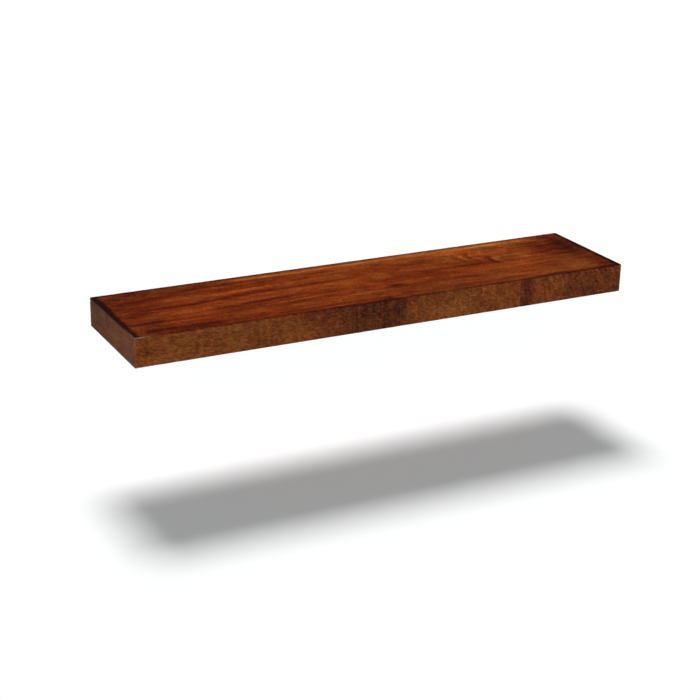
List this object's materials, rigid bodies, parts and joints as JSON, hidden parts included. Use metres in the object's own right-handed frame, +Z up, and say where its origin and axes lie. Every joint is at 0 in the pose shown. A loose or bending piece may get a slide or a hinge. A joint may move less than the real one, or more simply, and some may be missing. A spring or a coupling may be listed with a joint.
{
  "type": "floating wall shelf",
  "caption": "Long hollow wooden board with mitred edges that slides over the rods of a hidden steel wall bracket, locked by set screws from below.",
  "frame": {"origin": "middle of the bracket plate's back face, on the wall", "axes": "+X along the shelf to the right as seen from the room, +Y into the wall, +Z up"},
  "size_m": [0.914, 0.208, 0.05],
  "materials": {
    "stained_alder_veneer": "knotty alder veneer on board, dark red-brown stain, satin lacquer",
    "pine_timber": "planed bare softwood",
    "beech_dowel": "bare fluted dowel",
    "powder_coated_steel": "fine-textured black powder coat",
    "zinc_plated_steel": "drawn bar, bright zinc plated",
    "weld_steel": "rippled weld bead",
    "brass": "turned brass",
    "black_oxide_steel": "oiled black oxide"
  },
  "bodies": {
    "wall_bracket": {"bracket_plate": "powder_coated_steel", "bracket_rod_left": "zinc_plated_steel", "bracket_rod_centre": "zinc_plated_steel", "bracket_rod_right": "zinc_plated_steel", "rod_welds": "weld_steel"},
    "shelf": {"top_panel": "stained_alder_veneer", "bottom_panel": "stained_alder_veneer", "front_edge_left": "stained_alder_veneer", "front_edge_right": "stained_alder_veneer", "end_panel_left": "stained_alder_veneer", "end_panel_right": "stained_alder_veneer", "front_rail": "pine_timber", "end_rail_left": "pine_timber", "end_rail_right": "pine_timber", "back_rail": "pine_timber", "rib_left": "pine_timber", "rib_right": "pine_timber", "rod_block_left": "pine_timber", "rod_block_centre": "pine_timber", "rod_block_right": "pine_timber", "frame_dowels": "beech_dowel", "threaded_insert_left": "brass", "threaded_insert_right": "brass"},
    "lock_screw_left": {"lock_screw_left": "black_oxide_steel"},
    "lock_screw_right": {"lock_screw_right": "black_oxide_steel"}
  },
  "joints": [
    {"name": "shelf_slide", "type": "slide", "parent": "wall_bracket", "child": "shelf", "axis": [0, -1, 0], "range_m": [0, 0.16]},
    {"name": "lock_screw_left_travel", "type": "slide", "parent": "shelf", "child": "lock_screw_left", "axis": [0, 0, -1], "range_m": [0, 0.0035]},
    {"name": "lock_screw_right_travel", "type": "slide", "parent": "shelf", "child": "lock_screw_right", "axis": [0, 0, -1], "range_m": [0, 0.0035]}
  ]
}
